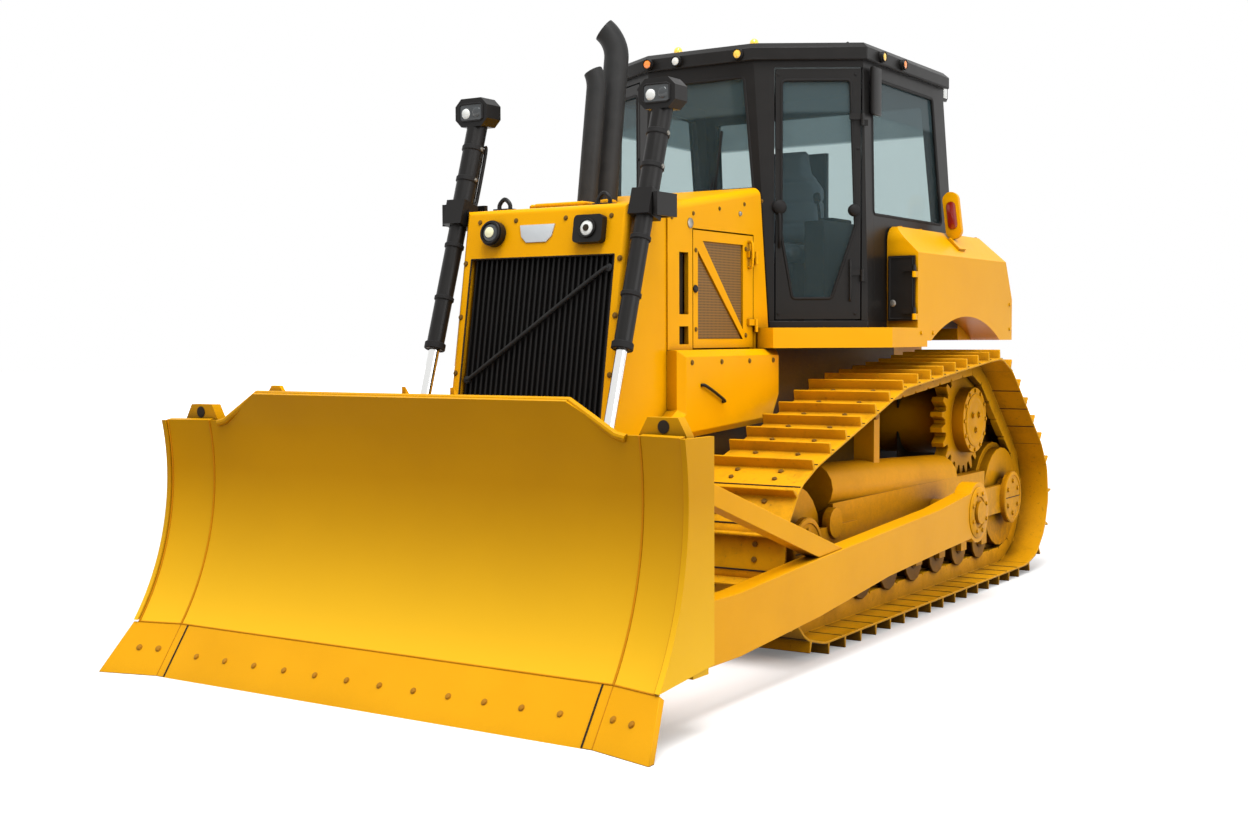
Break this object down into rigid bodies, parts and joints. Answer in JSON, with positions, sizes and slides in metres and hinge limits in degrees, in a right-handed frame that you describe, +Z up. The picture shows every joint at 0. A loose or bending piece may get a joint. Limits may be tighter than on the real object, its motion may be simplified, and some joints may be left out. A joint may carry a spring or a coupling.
{
  "type": "track-type tractor with a semi-U blade",
  "caption": "Crawler bulldozer with raised sprockets, a curved semi-U blade on push arms and a closed cab, for pushing and grading earth.",
  "frame": {"origin": "on the ground, at the middle of the machine's overall length and width, with the blade's edge and the track shoes resting on the ground", "axes": "+Z up, -Y the way the machine drives, with the blade in front, +X towards the machine's left side"},
  "size_m": [3.036, 5.73, 3.2557],
  "materials": {
    "yellow_enamel": "semi-gloss",
    "wear_steel": "worn satin",
    "black_enamel": "satin",
    "engine_paint": "satin",
    "chrome_rod": "polished",
    "cab_glass": "clear",
    "seat_fabric": "woven",
    "console_plastic": "moulded",
    "lamp_glass": "clear"
  },
  "bodies": {
    "tractor": {"track_left": "yellow_enamel", "track_right": "yellow_enamel", "idlers": "yellow_enamel", "track_rollers": "yellow_enamel", "sprockets": "yellow_enamel", "final_drives": "yellow_enamel", "track_frame_left": "yellow_enamel", "track_frame_right": "yellow_enamel", "main_frame": "yellow_enamel", "engine_block": "engine_paint", "equalizer_bar": "yellow_enamel", "radiator_guard": "yellow_enamel", "grille": "black_enamel", "hood": "yellow_enamel", "side_panels": "yellow_enamel", "stacks": "black_enamel", "cab_frame": "black_enamel", "cab_walls": "black_enamel", "cab_floor": "black_enamel", "cab_roof": "black_enamel", "cab_glass": "cab_glass", "operator_seat": "black_enamel", "seat_cushions": "seat_fabric", "control_console": "console_plastic", "fender_left": "yellow_enamel", "fender_right": "yellow_enamel", "fuel_tank": "yellow_enamel", "drawbar": "yellow_enamel", "tail_lamps": "yellow_enamel", "roof_lamps": "lamp_glass", "work_lamps": "lamp_glass", "lift_yokes": "black_enamel"},
    "blade_assembly": {"blade": "yellow_enamel", "cutting_edge": "wear_steel", "end_bits": "wear_steel", "push_arms": "yellow_enamel", "arm_braces": "yellow_enamel"},
    "lift_barrel_left": {"lift_barrel_left": "black_enamel"},
    "lift_barrel_right": {"lift_barrel_right": "black_enamel"},
    "lift_rod_left": {"lift_rod_left": "chrome_rod"},
    "lift_rod_right": {"lift_rod_right": "chrome_rod"},
    "cab_door_left": {"cab_door_left": "black_enamel", "door_glass_left": "cab_glass"},
    "cab_door_right": {"cab_door_right": "black_enamel", "door_glass_right": "cab_glass"},
    "engine_door_left": {"engine_door_left": "yellow_enamel"},
    "engine_door_right": {"engine_door_right": "yellow_enamel"},
    "access_cover_left": {"access_cover_left": "black_enamel"},
    "access_cover_right": {"access_cover_right": "black_enamel"}
  },
  "joints": [
    {"name": "blade_lift", "type": "hinge", "parent": "tractor", "child": "blade_assembly", "pos_m": [0, 1.04, 0.535], "axis": [-1, 0, 0], "range_deg": [-6.5, 15]},
    {"name": "lift_barrel_left_swing", "type": "hinge", "parent": "tractor", "child": "lift_barrel_left", "pos_m": [0.56, -1.333, 2.182], "axis": [-1, 0, 0], "range_deg": [-3.3, 7.4]},
    {"name": "lift_rod_left_slide", "type": "slide", "parent": "lift_barrel_left", "child": "lift_rod_left", "axis": [0, -0.3031, -0.953], "range_m": [-0.745, 0.325]},
    {"name": "cab_door_left", "type": "hinge", "parent": "tractor", "child": "cab_door_left", "pos_m": [0.86784, 0.45375, 2.30527], "axis": [0.0008, -0.0012, 1], "range_deg": [0, 155]},
    {"name": "engine_door_left", "type": "hinge", "parent": "tractor", "child": "engine_door_left", "pos_m": [0.518, -0.14867, 1.8], "axis": [0, 0, 1], "range_deg": [0, 100]},
    {"name": "access_cover_left", "type": "hinge", "parent": "tractor", "child": "access_cover_left", "pos_m": [1.07, 0.714, 1.87], "axis": [0, 0, 1], "range_deg": [0, 110]},
    {"name": "lift_barrel_right_swing", "type": "hinge", "parent": "tractor", "child": "lift_barrel_right", "pos_m": [-0.56, -1.333, 2.182], "axis": [-1, 0, 0], "range_deg": [-3.3, 7.4]},
    {"name": "lift_rod_right_slide", "type": "slide", "parent": "lift_barrel_right", "child": "lift_rod_right", "axis": [0, -0.3031, -0.953], "range_m": [-0.745, 0.325]},
    {"name": "cab_door_right", "type": "hinge", "parent": "tractor", "child": "cab_door_right", "pos_m": [-0.86784, 0.45375, 2.30527], "axis": [0.0008, 0.0012, -1], "range_deg": [0, 155]},
    {"name": "engine_door_right", "type": "hinge", "parent": "tractor", "child": "engine_door_right", "pos_m": [-0.518, -0.14867, 1.8], "axis": [0, 0, -1], "range_deg": [0, 100]},
    {"name": "access_cover_right", "type": "hinge", "parent": "tractor", "child": "access_cover_right", "pos_m": [-1.07, 0.714, 1.87], "axis": [0, 0, -1], "range_deg": [0, 110]}
  ],
  "couplings": [
    {"joint": "lift_barrel_left_swing", "follows": "blade_lift", "ratio": 0.4817},
    {"joint": "lift_rod_left_slide", "follows": "blade_lift", "m_per_rad": -2.786},
    {"joint": "lift_barrel_right_swing", "follows": "blade_lift", "ratio": 0.4817},
    {"joint": "lift_rod_right_slide", "follows": "blade_lift", "m_per_rad": -2.786}
  ]
}
